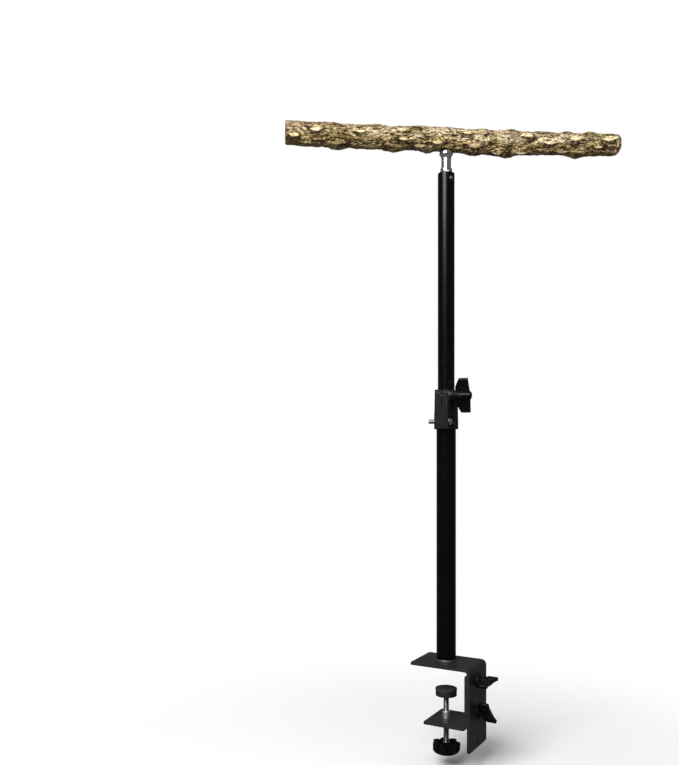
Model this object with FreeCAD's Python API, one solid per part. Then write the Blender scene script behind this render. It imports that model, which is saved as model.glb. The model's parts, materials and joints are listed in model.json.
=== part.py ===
"""Bird perch stand: a natural branch on a two-stage telescoping pole, with a clamp for a table.

Millimetres, +Z up. The origin is on the pole's axis, at the underside of the clamp's top plate,
which rests on the table. +X points off the table, towards the clamp's outer leg, and +Y runs
along the table's edge.
"""
import FreeCAD, Part
import math
import os
from FreeCAD import Vector

os.makedirs("parts", exist_ok=True)

# Clearances
running_gap = 0.06  # radial, where a round piece slides or turns in a bore
thread_gap = 0.05  # radial, a screw in its own thread
fixed_gap = 0.03  # radial, a piece that is pressed or glued in
through_gap = 0.3  # radial, a screw in a plain hole
face_gap = 0.1  # along an axis, where a turning face stands off its seat
overrun = 2.0  # how far a cutting tool runs past a face

# Clamp brackets, bent from flat bar
plate_t = 3.0
bend_inner_r = 3.0
corner_r = 1.5
clamp_width = 53.5
plate_reach = 32.6  # the top plate's end over the table, from the pole's axis
leg_face_x = 38.3  # the outer leg's outer face, from the pole's axis
outer_leg_drop = 88.6  # the outer leg's end, below the table face
arm_face_drop = 61.6  # the arm's upper face, below the table face
arm_reach = 16.7  # the arm's end, from the pole's axis
inner_leg_top_drop = 4.6  # the inner leg's end, below the table face
leg_hole_drop = 15.0  # the first hole, below the table face
leg_hole_pitch = 34.0
leg_hole_count = 3

# Wing screws of the clamp, M6
wing_screw_r = 3.0
wing_screw_short = 0.2  # how far the tip stays inside the inner leg's face
wing_washer_r = 7.6
wing_washer_t = 1.2
lower_wing_turn = 44.0  # degrees that the lower wing knob stands turned

# Wing knobs
knob_span = 40.4
knob_base_r = 7.4
knob_base_h = 1.0
knob_neck_r = 4.4
knob_waist_t = 7.0  # the wings' thickness at the hub
knob_thin_t = 3.6  # and at its least
knob_tip_t = 4.0  # and near the tips
knob_socket_depth = 9.0
knob_cap_h = 1.2  # the hub's domed end
knob_panel_t = 2.6  # the wings' thickness within their sunk panels
knob_panel_edge = 1.8  # the raised edge round each panel
clamp_knob_stem = 1.0
clamp_knob_flare = 3.2
clamp_knob_tip = 11.4
clamp_knob_dip = 2.4  # how far the wings' outer edge dips at the hub
clamp_knob_slant = 2.6  # how far the tips' inner corners stand back
clamp_knob_hub = 9.9  # the hub's height, below its domed end
collar_knob_stem = 5.8
collar_knob_flare = 4.5
collar_knob_tip = 10.0
collar_knob_dip = -1.2
collar_knob_slant = 0.4
collar_knob_hub = 22.4
collar_knob_turn = 20.0  # degrees that the collar knob stands turned

# Clamp screw, quarter-inch with 20 threads to the inch
rod_r = 3.175
jaw_opening = 28.0  # table face to the rubber's face, as photographed
rubber_r = 12.3
rubber_t = 2.5
pad_r = 12.0
pad_t = 6.0
pad_rim_t = 1.8
pad_web_t = 2.2
pad_hub_r = 6.6
pad_hub_h = 1.5
pad_floor_t = 3.0
pad_pocket_r = 5.0
rod_neck_r = 2.2
rod_head_r = 3.6
rod_head_t = 1.3
bush_r = 4.25
bush_stand = 7.6  # the bush's top, above the arm
bush_flange_r = 6.5
bush_flange_t = 1.2
bush_chamfer = 0.5

# Star knob
star_top_drop = 90.0  # the rim's upper face, below the table face
star_h = 12.2
star_r = 16.0
star_edge_r = 7.0
star_wall = 1.8
star_floor_t = 2.6
star_lobes = 7
star_lobe_r = 4.2
star_root_r = 12.0
star_hub_r = 5.2
star_rib_t = 1.5
star_turn = 20.4  # degrees that the star knob stands turned

# Lower tube and its foot
pole_r = 11.0
pole_wall = 1.0
pole_length = 284.0
foot_flange_r = 11.4
foot_flange_h = 2.5
foot_edge_r = 0.6
foot_plug_h = 22.0
foot_thread_h = 17.0
foot_bolt_r = 3.0
foot_bolt_head_r = 5.6
foot_bolt_recess = 0.3
foot_bolt_length = 18.0
foot_socket_af = 4.0
foot_socket_depth = 1.8

# Upper tube
slide_gap = 0.5  # radial, between the two tubes
mast_wall = 1.0
mast_length = 296.0
mast_overlap = 49.0  # how much of it stands below the collar's top, as photographed
mast_edge_r = 0.9
guide_head_h = 6.0
guide_tail_h = 16.0
guide_bore_r = 5.5

# Collar
collar_lower_h = 23.0  # the part round the lower tube
collar_upper_h = 21.5  # the part round the upper tube
collar_foot_r = 13.7
collar_top_r = 13.1
collar_ear_half = 8.3
collar_ear_cover = 5.4  # from the screws' axis to the ears' end
collar_screw_r = 2.5
collar_web = 0.5  # between the lower screw and the tube
collar_slit = 1.0
collar_slit_depth = 18.0
collar_lug_h = 18.5  # the height of the wide lower lug
collar_chamfer = 1.2
collar_lip_h = 1.9  # the set-back lip round the top
collar_bevel_h = 2.2  # the bevel below the lip
collar_bevel_w = 1.5
collar_yaw = 7.0  # degrees that the collar stands turned
collar_lower_screw_up = 8.5  # above the collar's foot
collar_knob_down = 7.0  # below the collar's top
collar_washer_r = 7.0
collar_washer_t = 1.4
collar_spot_margin = 1.0
collar_nut_af = 8.0
collar_nut_t = 2.7
collar_nut_pocket = 2.9
collar_head_r = 4.75
collar_head_h = 3.0
collar_head_room = 1.3
collar_tail = 7.9  # how far the lower screw stands out of the ear's other side
collar_cross_l = 5.0
collar_cross_w = 1.1
collar_cross_depth = 1.4

# Chrome stud
stud_plug_h = 22.0
stud_skirt_r = 7.9
stud_skirt_h = 2.5
stud_step_r = 6.6
stud_step_h = 2.6
stud_fillet_h = 1.2
stud_neck_r = 5.5
stud_neck_h = 10.0
stud_flare_h = 5.0
stud_bead_r = 7.75
stud_bead_h = 1.3
stud_tip_r = 5.3
stud_tip_h = 4.2
stud_thread_r = 4.0
stud_thread_h = 14.0
rivet_drop = 7.0
rivet_r = 1.6
rivet_head_r = 2.3
rivet_head_h = 0.9
rivet_seat = 0.35  # depth of the flat under each head
rivet_depth = 3.0
rivet_angle = -28.0  # degrees

# Branch
perch_r = 13.3
perch_left = 183.0  # from the stud to the branch's near end
perch_right = 203.5
perch_yaw = 35.6  # degrees from +X towards +Y
perch_sink = 1.8  # how deep the stud's flat seat is cut
perch_bow = 3.0
perch_edge = 1.6
insert_r = 6.0
insert_h = 13.0
insert_bottom_gap = 1.0
# Sections of the branch: how far along, its radius, how far it sags and how far it leans aside,
# as shares of the length, of perch_r and of perch_bow
perch_shares = [
    (0.00, 1.00, 0.05, 0.10),
    (0.09, 1.01, 0.15, 0.25),
    (0.18, 0.98, 0.40, 0.10),
    (0.27, 1.00, 0.70, -0.15),
    (0.36, 1.00, 0.60, -0.20),
    (0.45, 0.98, 0.35, -0.05),
    (0.54, 1.01, 0.75, 0.15),
    (0.63, 1.05, 1.00, 0.15),
    (0.72, 0.99, 0.90, -0.05),
    (0.81, 0.95, 0.65, -0.15),
    (0.91, 0.96, 0.40, -0.05),
    (1.00, 0.94, 0.15, 0.15),
]
# Thorns filed down to low cushions: how far along, as a share of the length; degrees round the
# branch, up from its front; half length, half width and height, as shares of perch_r
perch_thorn_shares = [
    (0.023, -22, 0.56, 0.26, 0.13),
    (0.340, 22, 0.50, 0.20, 0.08),
    (0.085, 6, 0.62, 0.25, 0.13),
    (0.090, -36, 0.54, 0.20, 0.11),
    (0.150, -50, 0.80, 0.30, 0.14),
    (0.215, 8, 0.54, 0.20, 0.12),
    (0.340, -18, 0.50, 0.22, 0.12),
    (0.390, -50, 0.70, 0.30, 0.15),
    (0.440, -30, 0.64, 0.24, 0.13),
    (0.530, 21, 0.50, 0.20, 0.11),
    (0.552, -33, 0.74, 0.32, 0.16),
    (0.624, -68, 0.58, 0.25, 0.14),
    (0.696, -66, 0.70, 0.26, 0.15),
    (0.712, 22, 0.58, 0.24, 0.12),
    (0.776, -10, 0.70, 0.25, 0.13),
    (0.820, -58, 0.74, 0.25, 0.14),
    (0.854, 9, 0.66, 0.28, 0.15),
    (0.926, -28, 0.54, 0.20, 0.11),
    (0.957, 12, 0.70, 0.26, 0.14),
    (0.150, -102, 0.95, 0.45, 0.22),
    (0.316, -106, 0.95, 0.45, 0.16),
    (0.416, -100, 0.80, 0.45, 0.20),
    (0.554, -100, 0.85, 0.45, 0.17),
    (0.657, -102, 0.95, 0.45, 0.18),
    (0.869, -102, 1.15, 0.50, 0.22),
    (0.124, 68, 0.64, 0.30, 0.13),
    (0.269, 74, 0.70, 0.30, 0.13),
    (0.393, 60, 0.64, 0.28, 0.12),
    (0.582, 62, 0.70, 0.30, 0.14),
    (0.668, 74, 0.64, 0.34, 0.18),
    (0.758, 64, 0.56, 0.26, 0.14),
    (0.836, 72, 0.56, 0.30, 0.17),
    (0.911, 74, 0.64, 0.30, 0.17),
]
perch_back_thorns = 16
perch_back_start = 95.0  # degrees round the branch from its front
perch_back_span = 150.0
perch_back_step = 137.5
perch_back_thorn_shares = (0.56, 0.25, 0.13)  # half length, half width and height, of perch_r

# Places worked out from the sizes
inner_leg_face_x = leg_face_x - plate_t
bend_outer_r = bend_inner_r + plate_t
arm_top_z = -arm_face_drop
pole_foot_z = plate_t + foot_flange_h
pole_top_z = pole_foot_z + pole_length
pole_bore_r = pole_r - pole_wall
mast_r = pole_bore_r - slide_gap
mast_bore_r = mast_r - mast_wall
collar_foot_z = pole_top_z - collar_lower_h
collar_top_z = pole_top_z + collar_upper_h
mast_foot_z = collar_top_z - mast_overlap
mast_top_z = mast_foot_z + mast_length
collar_screw_y = -(pole_r + collar_web + collar_screw_r)
collar_ear_y = collar_screw_y - collar_ear_cover
collar_screw_z = collar_foot_z + collar_lower_screw_up
collar_knob_z = collar_top_z - collar_knob_down
stud_body_h = (
    stud_skirt_h + stud_step_h + stud_fillet_h + stud_neck_h
    + stud_flare_h + stud_bead_h + stud_tip_h
)
stud_top_z = mast_top_z + stud_body_h
perch_axis_z = stud_top_z - perch_sink + perch_r
perch_length = perch_left + perch_right
jaw_z = -jaw_opening
pad_top_z = jaw_z - rubber_t
pad_foot_z = pad_top_z - pad_t
pad_hub_z = pad_foot_z - pad_hub_h
pad_floor_z = pad_foot_z + pad_floor_t
star_top_z = -star_top_drop
star_foot_z = star_top_z - star_h
collar_shoulder_z = collar_top_z - collar_lip_h
collar_bevel_z = collar_shoulder_z - collar_bevel_h
collar_wide = collar_foot_r + overrun

X_AXIS = Vector(1, 0, 0)
Z_AXIS = Vector(0, 0, 1)
HALF = 0.5
DIAGONAL = math.sqrt(HALF)
LOFT_DEGREE = 3


def rod(radius, foot, top):
    """A cylinder about the Z axis between two heights."""
    return Part.makeCylinder(radius, top - foot, Vector(0, 0, foot))


def ring(outer, inner, foot, top):
    """A tube about the Z axis between two heights."""
    bore = rod(inner, foot - overrun, top + overrun)
    return rod(outer, foot, top).cut(bore)


def slab(low, high):
    """A box between two opposite corners."""
    size = high - low
    return Part.makeBox(size.x, size.y, size.z, low)


def turned(edges):
    """The solid of revolution about the Z axis of a closed outline of edges in the XZ plane."""
    face = Part.Face(Part.Wire(edges))
    return face.revolve(Vector(), Z_AXIS, 360)


def outline(points):
    """A closed outline of straight edges through (radius, height) points."""
    corners = [Vector(r, 0, z) for r, z in points]
    loop = zip(corners, corners[1:] + corners[:1])
    return [Part.makeLine(a, b) for a, b in loop]


def turned_points(points):
    """The solid of revolution of a closed outline of (radius, height) points."""
    return turned(outline(points))


def cap_arc(radius, foot, height):
    """The outline of a spherical cap on a disc at a height, from its rim up to its crown."""
    sphere = (radius * radius + height * height) / (2 * height)
    lean = math.asin(radius / sphere) * HALF
    middle = Vector(sphere * math.sin(lean), 0, foot + height - sphere + sphere * math.cos(lean))
    return Part.Arc(Vector(radius, 0, foot), middle, Vector(0, 0, foot + height)).toShape()


def hexagon(across_flats, foot, top):
    """A hexagonal prism about the Z axis, with flats facing along Y."""
    corner_radius = across_flats * HALF / math.cos(math.radians(30))
    turns = [math.radians(60 * i) for i in range(6)]
    corners = [
        Vector(corner_radius * math.cos(a), corner_radius * math.sin(a), foot)
        for a in turns
    ]
    face = Part.Face(Part.makePolygon(corners + corners[:1]))
    return face.extrude(Vector(0, 0, top - foot))


def rounded(shape, radius, keep):
    """The shape with a fillet on each edge whose middle passes the test keep."""
    edges = [e for e in shape.Edges if keep(e.CenterOfMass, e)]
    return shape.makeFillet(radius, edges)


def chamfered(shape, size, keep):
    """The shape with a chamfer on each edge whose middle passes the test keep."""
    edges = [e for e in shape.Edges if keep(e.CenterOfMass, e)]
    return shape.makeChamfer(size, edges)


def near(a, b):
    """Whether two lengths agree."""
    return math.isclose(a, b, abs_tol=fixed_gap)


def point_outwards(shape, x, y, z, spin):
    """Moves a piece built along +Z to lie along +X, with its foot at a point, turned about itself."""
    shape = shape.copy()
    shape.rotate(Vector(), Z_AXIS, spin)
    shape.rotate(Vector(), Vector(0, 1, 0), 90)
    shape.translate(Vector(x, y, z))
    return shape


def turned_with_collar(shape):
    """Turns a piece of the collar about the pole to the collar's own direction."""
    shape = shape.copy()
    shape.rotate(Vector(), Z_AXIS, collar_yaw)
    return shape


def bent_bar(reach, leg_x, face_z, leg_end_z, side):
    """A flat bar with one right-angle bend. Its flat part has one face at face_z and lies on the
    given side of it, and its leg runs the other way, with its outer face at leg_x."""
    back_z = face_z + side * plate_t
    centre = Vector(leg_x - bend_outer_r, 0, face_z - side * bend_inner_r)
    slant = Vector(DIAGONAL, 0, side * DIAGONAL)
    a = Vector(-reach, 0, face_z)
    b = Vector(-reach, 0, back_z)
    c = Vector(centre.x, 0, back_z)
    d = Vector(leg_x, 0, centre.z)
    e = Vector(leg_x, 0, leg_end_z)
    f = Vector(leg_x - plate_t, 0, leg_end_z)
    g = Vector(leg_x - plate_t, 0, centre.z)
    h = Vector(centre.x, 0, face_z)
    edges = [
        Part.makeLine(a, b),
        Part.makeLine(b, c),
        Part.Arc(c, centre + slant * bend_outer_r, d).toShape(),
        Part.makeLine(d, e),
        Part.makeLine(e, f),
        Part.makeLine(f, g),
        Part.Arc(g, centre + slant * bend_inner_r, h).toShape(),
        Part.makeLine(h, a),
    ]
    bar = Part.Face(Part.Wire(edges)).extrude(Vector(0, clamp_width, 0))
    bar.translate(Vector(0, -clamp_width * HALF, 0))

    def corner(middle, edge):
        at_side = near(abs(middle.y), clamp_width * HALF)
        at_end = near(middle.x, -reach) or near(middle.z, leg_end_z)
        return at_side and at_end and near(edge.Length, plate_t)

    return rounded(bar, corner_r, corner)


def leg_hole_z(index):
    """The height of a hole in the outer leg, counted from the top."""
    return -(leg_hole_drop + leg_hole_pitch * index)


def leg_hole(radius, index):
    """A cutter for one hole through either leg."""
    start = inner_leg_face_x - plate_t - overrun
    length = 2 * (plate_t + overrun)
    return Part.makeCylinder(radius, length, Vector(start, 0, leg_hole_z(index)), X_AXIS)


def upper_bracket():
    bar = bent_bar(plate_reach, leg_face_x, 0, -outer_leg_drop, 1)
    for index in range(leg_hole_count):
        bar = bar.cut(leg_hole(wing_screw_r + through_gap, index))
    bar = bar.cut(rod(foot_bolt_r + through_gap, -overrun, plate_t + overrun))
    return bar.cut(foot_bolt_head(overrun))


def lower_bracket():
    bar = bent_bar(arm_reach, inner_leg_face_x, arm_top_z, -inner_leg_top_drop, -1)
    for index in range(leg_hole_count - 1):
        bar = bar.cut(leg_hole(wing_screw_r + thread_gap, index))
    return bar.cut(rod(bush_r + fixed_gap, arm_top_z - plate_t - overrun, arm_top_z + overrun))


def foot_bolt_head(below):
    """The countersunk head, carried on downwards as a cylinder by the given length."""
    cone_h = foot_bolt_head_r - foot_bolt_r
    top = foot_bolt_recess + cone_h
    return turned_points([
        (0, foot_bolt_recess - below),
        (foot_bolt_head_r, foot_bolt_recess - below),
        (foot_bolt_head_r, foot_bolt_recess),
        (foot_bolt_r, top),
        (0, top),
    ])


def foot_bolt():
    bolt = turned_points([
        (0, foot_bolt_recess),
        (foot_bolt_head_r, foot_bolt_recess),
        (foot_bolt_r, foot_bolt_recess + foot_bolt_head_r - foot_bolt_r),
        (foot_bolt_r, foot_bolt_length),
        (0, foot_bolt_length),
    ])
    socket = hexagon(foot_socket_af, 0, foot_bolt_recess + foot_socket_depth)
    return bolt.cut(socket)


def pole_foot():
    flange = rod(foot_flange_r, plate_t, pole_foot_z)

    def rim(middle, edge):
        return near(middle.x, 0) and edge.Length > foot_flange_r

    flange = rounded(flange, foot_edge_r, rim)
    plug = rod(pole_bore_r - fixed_gap, pole_foot_z - foot_edge_r, pole_foot_z + foot_plug_h)
    hole = rod(foot_bolt_r + thread_gap, plate_t - overrun, plate_t + foot_thread_h)
    return flange.fuse(plug).removeSplitter().cut(hole)


def lower_tube():
    return ring(pole_r, pole_bore_r, pole_foot_z, pole_top_z)


def upper_tube():
    tube = ring(mast_r, mast_bore_r, mast_foot_z, mast_top_z)

    def top_edge(middle, edge):
        return near(middle.z, mast_top_z) and near(edge.Length, 2 * math.pi * mast_r)

    tube = rounded(tube, mast_edge_r, top_edge)
    return tube.cut(rivet_holes() + rivet_seats())


def guide_bush():
    head_r = pole_bore_r - running_gap
    tail_r = mast_bore_r - running_gap
    return turned_points([
        (guide_bore_r, mast_foot_z - guide_head_h),
        (head_r, mast_foot_z - guide_head_h),
        (head_r, mast_foot_z - face_gap),
        (tail_r, mast_foot_z - face_gap),
        (tail_r, mast_foot_z + guide_tail_h),
        (guide_bore_r, mast_foot_z + guide_tail_h),
    ])


def across_ears(radius, z, start, end):
    """A cylinder along X at the collar screws' place, between two distances from the slit."""
    return Part.makeCylinder(radius, end - start, Vector(start, collar_screw_y, z), X_AXIS)


def nut_prism(across_flats, z, start, end):
    """A hexagonal prism along X at the collar screws' place, its flats facing the ears' end."""
    prism = hexagon(across_flats, start, end)
    return point_outwards(prism, 0, collar_screw_y, z, 0)


def collar_barrel():
    """The collar's tapered barrel, with a bevel and a set-back lip at the top."""
    lip_r = collar_top_r - collar_bevel_w
    foot_r = collar_foot_r - collar_chamfer * HALF
    return turned_points([
        (0, collar_foot_z),
        (foot_r, collar_foot_z),
        (collar_foot_r, collar_foot_z + collar_chamfer * HALF),
        (collar_top_r, collar_bevel_z),
        (lip_r, collar_shoulder_z),
        (lip_r, collar_top_z),
        (0, collar_top_z),
    ])


def collar_ears():
    """The block of the two ears, before the slit parts them: the common part of its side outline,
    which has the barrel's bevel and lip, and its plan, whose outer corners are cut off."""
    foot_z = collar_foot_z + collar_chamfer * HALF
    side = [
        Vector(-collar_ear_half, 0, foot_z),
        Vector(-collar_ear_half, collar_ear_y, foot_z),
        Vector(-collar_ear_half, collar_ear_y, collar_bevel_z),
        Vector(-collar_ear_half, collar_ear_y + collar_bevel_w, collar_shoulder_z),
        Vector(-collar_ear_half, collar_ear_y + collar_bevel_w, collar_top_z),
        Vector(-collar_ear_half, 0, collar_top_z),
    ]
    block = Part.Face(Part.makePolygon(side + side[:1])).extrude(X_AXIS * 2 * collar_ear_half)
    cut_x = collar_ear_half - collar_chamfer
    plan = [
        Vector(-collar_ear_half, 0, foot_z),
        Vector(-collar_ear_half, collar_ear_y + collar_chamfer, foot_z),
        Vector(-cut_x, collar_ear_y, foot_z),
        Vector(cut_x, collar_ear_y, foot_z),
        Vector(collar_ear_half, collar_ear_y + collar_chamfer, foot_z),
        Vector(collar_ear_half, 0, foot_z),
    ]
    face = Part.Face(Part.makePolygon(plan + plan[:1]))
    return block.common(face.extrude(Vector(0, 0, collar_top_z - foot_z)))


def collar_lug():
    """The wide lower lug: the ears' end joined to the barrel by flanks that touch it."""
    reach = math.hypot(collar_ear_half, collar_ear_y)
    lean = math.atan2(collar_ear_y, collar_ear_half) + math.acos(collar_foot_r / reach)
    touch = Vector(collar_foot_r * math.cos(lean), collar_foot_r * math.sin(lean), collar_foot_z)
    corners = [
        Vector(collar_ear_half, collar_ear_y, collar_foot_z),
        touch,
        Vector(-touch.x, touch.y, collar_foot_z),
        Vector(-collar_ear_half, collar_ear_y, collar_foot_z),
    ]
    face = Part.Face(Part.makePolygon(corners + corners[:1]))
    lug = face.extrude(Vector(0, 0, collar_lug_h))

    def outer(middle, edge):
        upright = near(middle.z, collar_foot_z + collar_lug_h * HALF)
        return near(middle.y, collar_ear_y) and (upright or near(middle.z, collar_foot_z))

    return chamfered(lug, collar_chamfer, outer)


def collar_body():
    body = collar_barrel().fuse([collar_ears(), collar_lug()]).removeSplitter()
    body = body.cut(rod(pole_r + fixed_gap, collar_foot_z - overrun, pole_top_z))
    body = body.cut(rod(mast_r + running_gap, pole_top_z - overrun, collar_top_z + overrun))
    slit = slab(
        Vector(-collar_slit * HALF, collar_ear_y - overrun, collar_top_z - collar_slit_depth),
        Vector(collar_slit * HALF, 0, collar_top_z + overrun),
    )
    body = body.cut(slit)
    pocket_af = collar_nut_af + 2 * thread_gap
    nut_face = -(collar_ear_half - collar_nut_pocket)
    hole_r = collar_screw_r + through_gap
    spot_r = knob_base_r + collar_spot_margin
    for z in (collar_screw_z, collar_knob_z):
        body = body.cut(across_ears(hole_r, z, nut_face - overrun, collar_wide))
        body = body.cut(nut_prism(pocket_af, z, -collar_wide, nut_face))
    body = body.cut(across_ears(spot_r, collar_knob_z, collar_ear_half, collar_wide))
    head_room_r = collar_head_r + collar_head_room
    body = body.cut(across_ears(head_room_r, collar_screw_z, collar_ear_half, collar_wide))
    return turned_with_collar(body)


def collar_nuts():
    """Two captive nuts, one for the knob and one for the lower screw."""
    face = -(collar_ear_half - collar_nut_pocket)
    nuts = []
    for z in (collar_screw_z, collar_knob_z):
        nut = nut_prism(collar_nut_af, z, face - collar_nut_t, face)
        bore = across_ears(collar_screw_r + thread_gap, z, face - collar_nut_t - overrun, face + overrun)
        nuts.append(turned_with_collar(nut.cut(bore)))
    return Part.makeCompound(nuts)


def collar_screw():
    """Pan-head screw with a cross recess, across the lower lug."""
    shank = across_ears(
        collar_screw_r, collar_screw_z, -(collar_ear_half + collar_tail), collar_ear_half
    )
    head = turned([
        Part.makeLine(Vector(), Vector(collar_head_r, 0, 0)),
        cap_arc(collar_head_r, 0, collar_head_h),
        Part.makeLine(Vector(0, 0, collar_head_h), Vector()),
    ])
    for long, wide in ((collar_cross_l, collar_cross_w), (collar_cross_w, collar_cross_l)):
        corner = Vector(long, wide, 0) * HALF
        floor = Vector(0, 0, collar_head_h - collar_cross_depth)
        top = Vector(0, 0, collar_head_h + overrun)
        head = head.cut(slab(floor - corner, top + corner))
    head = point_outwards(head, collar_ear_half, collar_screw_y, collar_screw_z, 0)
    return turned_with_collar(shank.fuse(head).removeSplitter())


def wing_outline(stem, flare, tip, dip, slant, edge):
    """One wing seen from its broad side, with a bowed tip whose inner corner stands back by the
    slant. With an edge, the closed outline of the panel that lies inside it."""
    span_r = knob_span * HALF
    inner_r = knob_base_r + edge if edge else 0
    root_r = knob_base_r + (span_r - knob_base_r) * HALF * HALF
    tip_foot = stem + flare
    tip_top = tip_foot + tip
    root = Vector(root_r, 0, stem + edge * 2)
    foot = Vector(span_r - slant - edge, 0, tip_foot + edge)
    bow = Vector(span_r - edge, 0, tip_foot + tip * HALF)
    top = Vector(span_r - slant * HALF - edge, 0, tip_top - edge)
    crown = Vector(inner_r, 0, tip_top - dip - edge)
    edges = [
        Part.makeLine(root, foot),
        Part.Arc(foot, bow, top).toShape(),
        Part.makeLine(top, crown),
    ]
    if edge:
        edges.append(Part.makeLine(crown, root))
    return edges


def both_ways(edges):
    """The edges of an outline and their mirror images across the YZ plane."""
    return edges + [e.mirror(Vector(), X_AXIS) for e in edges]


def wing_knob(stem, flare, tip, dip, slant, hub_top, socket_r):
    """A wing knob built along +Z from its base, with its wings along X: a conical hub with a domed
    end, and a wing that is the common part of its side outline and its waisted plan, with a sunk
    panel in each face of each wing."""
    span_r = knob_span * HALF
    tip_foot = stem + flare
    tip_top = tip_foot + tip
    side = both_ways(wing_outline(stem, flare, tip, dip, slant, 0))
    root = side[0].Vertexes[0].Point
    side.append(Part.makeLine(root, Vector(-root.x, 0, root.z)))
    deep = Vector(0, knob_span, 0)
    slice_of_sides = Part.Face(Part.Wire(Part.__sortEdges__(side))).extrude(deep)
    slice_of_sides.translate(deep * -HALF)
    waist = knob_waist_t * HALF
    thin = knob_thin_t * HALF
    full = knob_tip_t * HALF
    middle_x = span_r * HALF
    round_x = span_r - full
    right = Part.BSplineCurve()
    right.interpolate([Vector(0, waist, 0), Vector(middle_x, thin, 0), Vector(round_x, full, 0)])
    edges = [right.toShape()]
    edges.append(Part.Arc(
        Vector(round_x, full, 0), Vector(span_r, 0, 0), Vector(round_x, -full, 0)
    ).toShape())
    half = edges + [edges[0].mirror(Vector(), Vector(0, 1, 0))]
    plan = Part.Face(Part.Wire(Part.__sortEdges__(both_ways(half))))
    wings = slice_of_sides.common(plan.extrude(Vector(0, 0, tip_top + abs(dip))))
    panel = Part.Face(Part.Wire(wing_outline(stem, flare, tip, dip, slant, knob_panel_edge)))
    sunk = panel.extrude(deep)
    sunk.translate(deep * -HALF)
    for side_sign in (1, -1):
        cutter = sunk.copy()
        cutter.translate(Vector(0, side_sign * (knob_span + knob_panel_t) * HALF, 0))
        wings = wings.cut([cutter, cutter.mirror(Vector(), X_AXIS)])
    hub = turned([
        Part.makeLine(Vector(), Vector(knob_base_r, 0, 0)),
        Part.makeLine(Vector(knob_base_r, 0, 0), Vector(knob_base_r, 0, knob_base_h)),
        Part.makeLine(Vector(knob_base_r, 0, knob_base_h), Vector(knob_neck_r, 0, tip_foot)),
        Part.makeLine(Vector(knob_neck_r, 0, tip_foot), Vector(knob_neck_r, 0, hub_top)),
        cap_arc(knob_neck_r, hub_top, knob_cap_h),
        Part.makeLine(Vector(0, 0, hub_top + knob_cap_h), Vector()),
    ])
    knob = wings.fuse(hub).removeSplitter()
    return knob.cut(rod(socket_r, -overrun, knob_socket_depth))


def washer(outer, hole, thickness):
    """A flat washer built along +Z."""
    return ring(outer, hole, 0, thickness)


def wing_place(index):
    """Where the washer of a clamp wing screw lies: its height and its turn."""
    turn = lower_wing_turn if index else 0
    return leg_hole_z(index), 90 - turn


def wing_washer(index):
    z, turn = wing_place(index)
    piece = washer(wing_washer_r, wing_screw_r + through_gap, wing_washer_t)
    return point_outwards(piece, leg_face_x, 0, z, turn)


def clamp_wing_knob(index):
    z, turn = wing_place(index)
    knob = wing_knob(
        clamp_knob_stem, clamp_knob_flare, clamp_knob_tip, clamp_knob_dip, clamp_knob_slant,
        clamp_knob_hub, wing_screw_r + fixed_gap,
    )
    return point_outwards(knob, leg_face_x + wing_washer_t, 0, z, turn)


def wing_screw(index):
    z, turn = wing_place(index)
    tip = -(wing_washer_t + 2 * plate_t - wing_screw_short)
    screw = rod(wing_screw_r, tip, knob_socket_depth)
    return point_outwards(screw, leg_face_x + wing_washer_t, 0, z, turn)


def collar_washer():
    piece = washer(collar_washer_r, collar_screw_r + through_gap, collar_washer_t)
    piece = point_outwards(piece, collar_ear_half, collar_screw_y, collar_knob_z, 0)
    return turned_with_collar(piece)


def collar_knob():
    knob = wing_knob(
        collar_knob_stem, collar_knob_flare, collar_knob_tip, collar_knob_dip, collar_knob_slant,
        collar_knob_hub, collar_screw_r + fixed_gap,
    )
    base = collar_ear_half + collar_washer_t
    knob = point_outwards(knob, base, collar_screw_y, collar_knob_z, collar_knob_turn)
    return turned_with_collar(knob)


def collar_knob_stud():
    base = collar_ear_half + collar_washer_t
    tip = -collar_ear_half
    stud = across_ears(collar_screw_r, collar_knob_z, tip, base + knob_socket_depth)
    return turned_with_collar(stud)


def screw_bush():
    """Threaded bush, set through the arm from below."""
    arm_foot = arm_top_z - plate_t
    top = arm_top_z + bush_stand
    bore = rod_r + thread_gap
    return turned_points([
        (bore, arm_foot - bush_flange_t),
        (bush_flange_r, arm_foot - bush_flange_t),
        (bush_flange_r, arm_foot),
        (bush_r, arm_foot),
        (bush_r, top - bush_chamfer),
        (bush_r - bush_chamfer, top),
        (bore, top),
    ])


def clamp_screw():
    """Threaded rod with a riveted head on a neck, which holds the pad and lets it swivel."""
    shoulder = pad_hub_z - face_gap
    head_foot = pad_floor_z + face_gap
    return turned_points([
        (0, star_foot_z + star_floor_t),
        (rod_r, star_foot_z + star_floor_t),
        (rod_r, shoulder),
        (rod_neck_r, shoulder),
        (rod_neck_r, head_foot),
        (rod_head_r, head_foot),
        (rod_head_r, head_foot + rod_head_t),
        (0, head_foot + rod_head_t),
    ])


def pressure_pad():
    """A cup that opens downwards round its hub, with a pocket in the hub for the screw's head."""
    hole = rod_neck_r + running_gap
    web_z = pad_top_z - pad_web_t
    return turned_points([
        (hole, pad_hub_z),
        (pad_hub_r, pad_hub_z),
        (pad_hub_r, web_z),
        (pad_r - pad_rim_t, web_z),
        (pad_r - pad_rim_t, pad_foot_z),
        (pad_r, pad_foot_z),
        (pad_r, pad_top_z),
        (pad_pocket_r, pad_top_z),
        (pad_pocket_r, pad_floor_z),
        (hole, pad_floor_z),
    ])


def pad_rubber():
    return rod(rubber_r, pad_top_z, jaw_z)


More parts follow.
